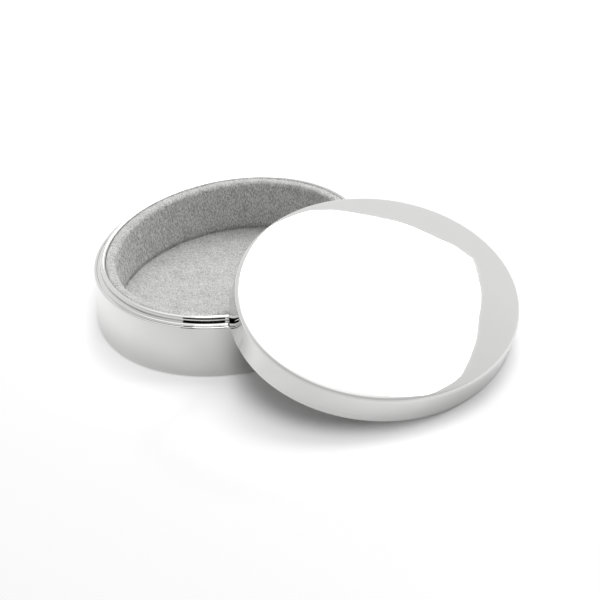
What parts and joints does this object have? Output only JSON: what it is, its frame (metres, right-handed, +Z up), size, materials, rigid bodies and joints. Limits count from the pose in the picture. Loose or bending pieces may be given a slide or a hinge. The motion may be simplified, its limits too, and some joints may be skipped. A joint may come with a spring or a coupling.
{
  "type": "tooth keepsake box",
  "caption": "Low oval keepsake box in polished silver plate with a grey velvet-lined well and a slip-on domed lid, shown lifted off and leaning on the rim.",
  "frame": {"origin": "middle of the tub's flat underside, on the surface it stands on", "axes": "+Z up; +X along the long axis of the oval; the lid leans on the tub's -Y side"},
  "size_m": [0.0605, 0.0815, 0.0198],
  "materials": {
    "plate": "mirror-polished silver plate",
    "velvet": "short-pile grey velvet",
    "card": "plain grey-brown card",
    "wadding": "thin white wadding"
  },
  "bodies": {
    "box": {"body_shell": "plate", "neck_ring": "plate", "wall_board": "card", "wall_padding": "wadding", "wall_lining": "velvet", "floor_board": "card", "floor_lining": "velvet"},
    "lid": {"lid_shell": "plate", "lid_board": "card", "lid_lining": "velvet"}
  },
  "joints": [
    {"name": "lid_lift", "type": "slide", "parent": "box", "child": "lid", "axis": [0, 0, 1], "range_m": [0, 0.03]}
  ]
}
